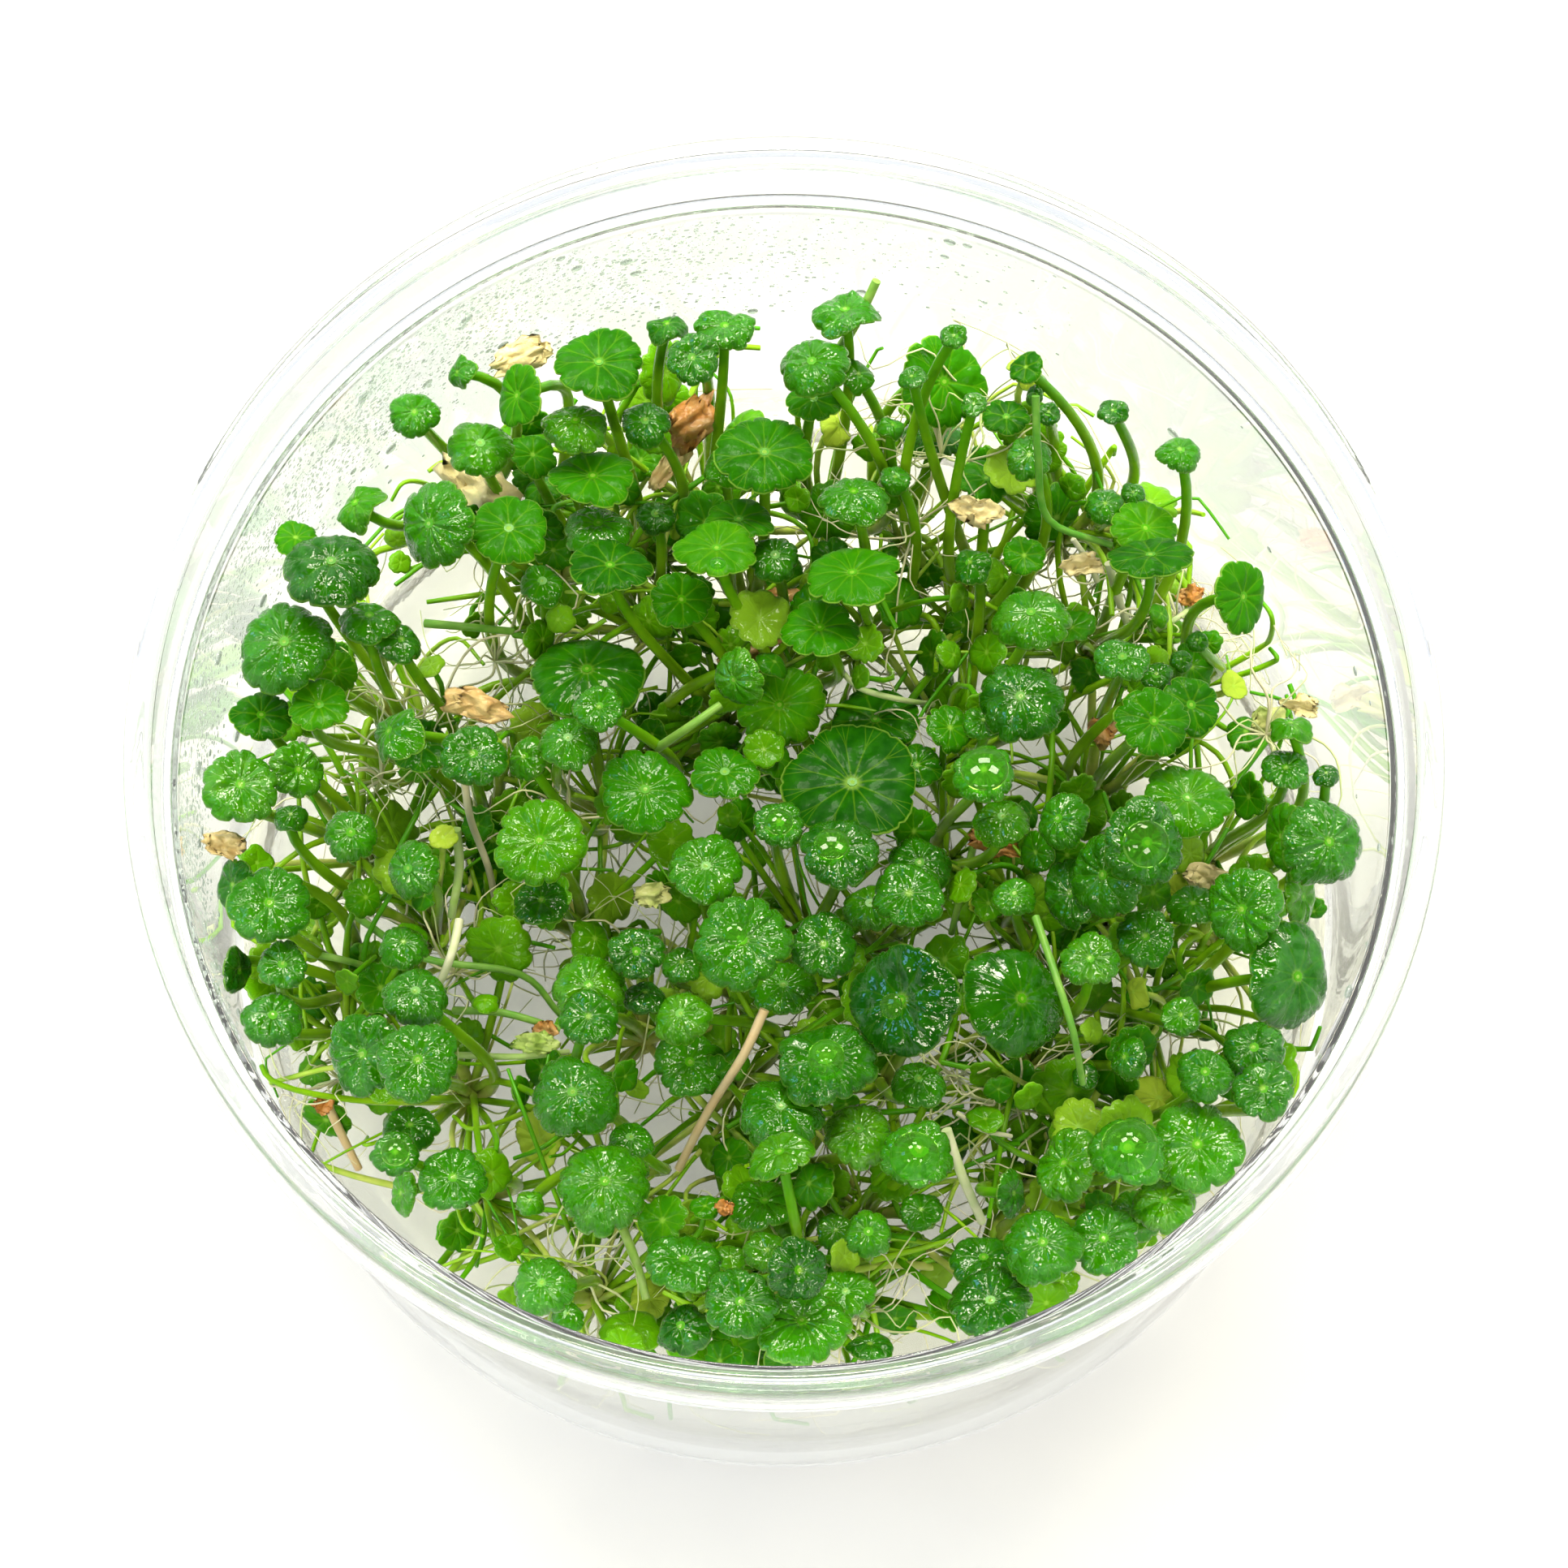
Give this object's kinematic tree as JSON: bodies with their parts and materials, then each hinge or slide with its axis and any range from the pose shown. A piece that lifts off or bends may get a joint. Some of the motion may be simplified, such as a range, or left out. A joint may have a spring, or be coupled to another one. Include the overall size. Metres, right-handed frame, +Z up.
{
  "type": "whorled pennywort in a growing cup",
  "caption": "Dense tufts of whorled pennywort, round scalloped leaves on slender stalks, growing on clear gel in an open clear plastic cup.",
  "frame": {"origin": "centre of the cup's underside", "axes": "+Z up along the cup's axis; -Y is the side nearest the viewer in the picture, +X to the viewer's right"},
  "size_m": [0.104, 0.104, 0.0572],
  "materials": {
    "cup": "gloss",
    "gel": "gloss",
    "leaf": "satin"
  },
  "bodies": {
    "root": {"cup": "cup", "gel": "gel", "plantlet_01": "leaf", "plantlet_02": "leaf", "plantlet_03": "leaf", "plantlet_04": "leaf", "plantlet_05": "leaf", "plantlet_06": "leaf", "plantlet_07": "leaf", "plantlet_08": "leaf", "plantlet_09": "leaf", "plantlet_10": "leaf", "plantlet_11": "leaf", "plantlet_12": "leaf", "plantlet_13": "leaf", "plantlet_14": "leaf", "plantlet_15": "leaf", "plantlet_16": "leaf", "plantlet_17": "leaf", "plantlet_18": "leaf", "plantlet_19": "leaf", "plantlet_20": "leaf", "plantlet_21": "leaf", "plantlet_22": "leaf", "plantlet_23": "leaf", "plantlet_24": "leaf", "plantlet_25": "leaf", "plantlet_26": "leaf", "plantlet_27": "leaf", "plantlet_28": "leaf", "plantlet_29": "leaf", "plantlet_30": "leaf", "plantlet_31": "leaf", "plantlet_32": "leaf", "plantlet_33": "leaf", "plantlet_34": "leaf", "plantlet_35": "leaf", "plantlet_36": "leaf", "plantlet_37": "leaf", "plantlet_38": "leaf", "plantlet_39": "leaf", "plantlet_40": "leaf", "plantlet_41": "leaf", "plantlet_42": "leaf", "plantlet_43": "leaf", "plantlet_44": "leaf", "plantlet_45": "leaf", "plantlet_46": "leaf", "plantlet_47": "leaf", "plantlet_48": "leaf", "plantlet_49": "leaf", "plantlet_50": "leaf", "plantlet_51": "leaf", "plantlet_52": "leaf", "plantlet_53": "leaf", "plantlet_54": "leaf", "plantlet_55": "leaf", "plantlet_56": "leaf", "plantlet_57": "leaf", "plantlet_58": "leaf"}
  },
  "joints": []
}
